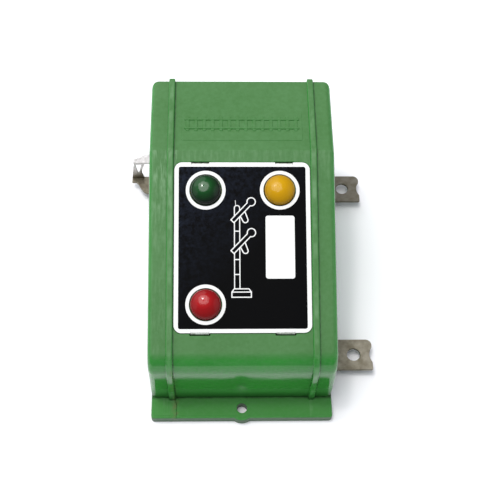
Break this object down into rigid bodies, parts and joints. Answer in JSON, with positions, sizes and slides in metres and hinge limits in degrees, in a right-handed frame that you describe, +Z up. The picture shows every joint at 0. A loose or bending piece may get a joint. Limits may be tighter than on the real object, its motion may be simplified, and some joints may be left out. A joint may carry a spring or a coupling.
{
  "type": "model railway signal control panel",
  "caption": "Desk-shaped push-button control box for a model railway semaphore signal, with a sloping label panel, side bus tabs and a screw-down flange.",
  "frame": {"origin": "centre of the footprint, on the underside of the base plate", "axes": "+Z up, +X to the user's right, towards the bus tabs, +Y to the rear, up the panel"},
  "size_m": [0.0621, 0.0806, 0.0393],
  "materials": {
    "green_plastic": "moulded, glossy, lightly worn",
    "base_plastic": "matt moulded",
    "printed_label": "black and white print on thin sheet",
    "phenolic": "paper laminate",
    "nickel": "tarnished nickel plating",
    "brass": "stamped sheet",
    "steel": "zinc plated",
    "green_button_plastic": "glossy",
    "yellow_button_plastic": "glossy",
    "red_button_plastic": "glossy"
  },
  "bodies": {
    "root": {"housing": "green_plastic", "base_plate": "base_plastic", "base_screw_1": "steel", "base_screw_2": "steel", "base_screw_3": "steel", "base_screw_4": "steel", "label_plate": "printed_label", "contact_board": "phenolic", "board_screw_left": "steel", "board_screw_right": "steel", "common_strip": "brass", "lead_strip": "brass", "front_bus_bar": "nickel", "rear_bus_bar": "nickel", "feed_clip": "nickel", "green_output_strip": "nickel", "yellow_output_strip": "nickel", "red_output_strip": "nickel", "return_strip": "nickel", "green_return_spring": "steel", "green_contact_post_left": "brass", "green_contact_post_right": "brass", "yellow_return_spring": "steel", "yellow_contact_post_left": "brass", "yellow_contact_post_right": "brass", "red_return_spring": "steel", "red_contact_post_left": "brass", "red_contact_post_right": "brass"},
    "green": {"green_button": "green_button_plastic", "green_bridge_disc": "brass", "green_retaining_clip": "steel"},
    "yellow": {"yellow_button": "yellow_button_plastic", "yellow_bridge_disc": "brass", "yellow_retaining_clip": "steel"},
    "red": {"red_button": "red_button_plastic", "red_bridge_disc": "brass", "red_retaining_clip": "steel"}
  },
  "joints": [
    {"name": "green_press", "type": "slide", "parent": "root", "child": "green", "axis": [0, 0.342, -0.9397], "range_m": [0, 0.0016], "stiffness_N_per_m": 250, "springref_m": -0.0016, "deforming": ["green_return_spring"]},
    {"name": "yellow_press", "type": "slide", "parent": "root", "child": "yellow", "axis": [0, 0.342, -0.9397], "range_m": [0, 0.0016], "stiffness_N_per_m": 250, "springref_m": -0.0016, "deforming": ["yellow_return_spring"]},
    {"name": "red_press", "type": "slide", "parent": "root", "child": "red", "axis": [0, 0.342, -0.9397], "range_m": [0, 0.0016], "stiffness_N_per_m": 250, "springref_m": -0.0016, "deforming": ["red_return_spring"]}
  ]
}
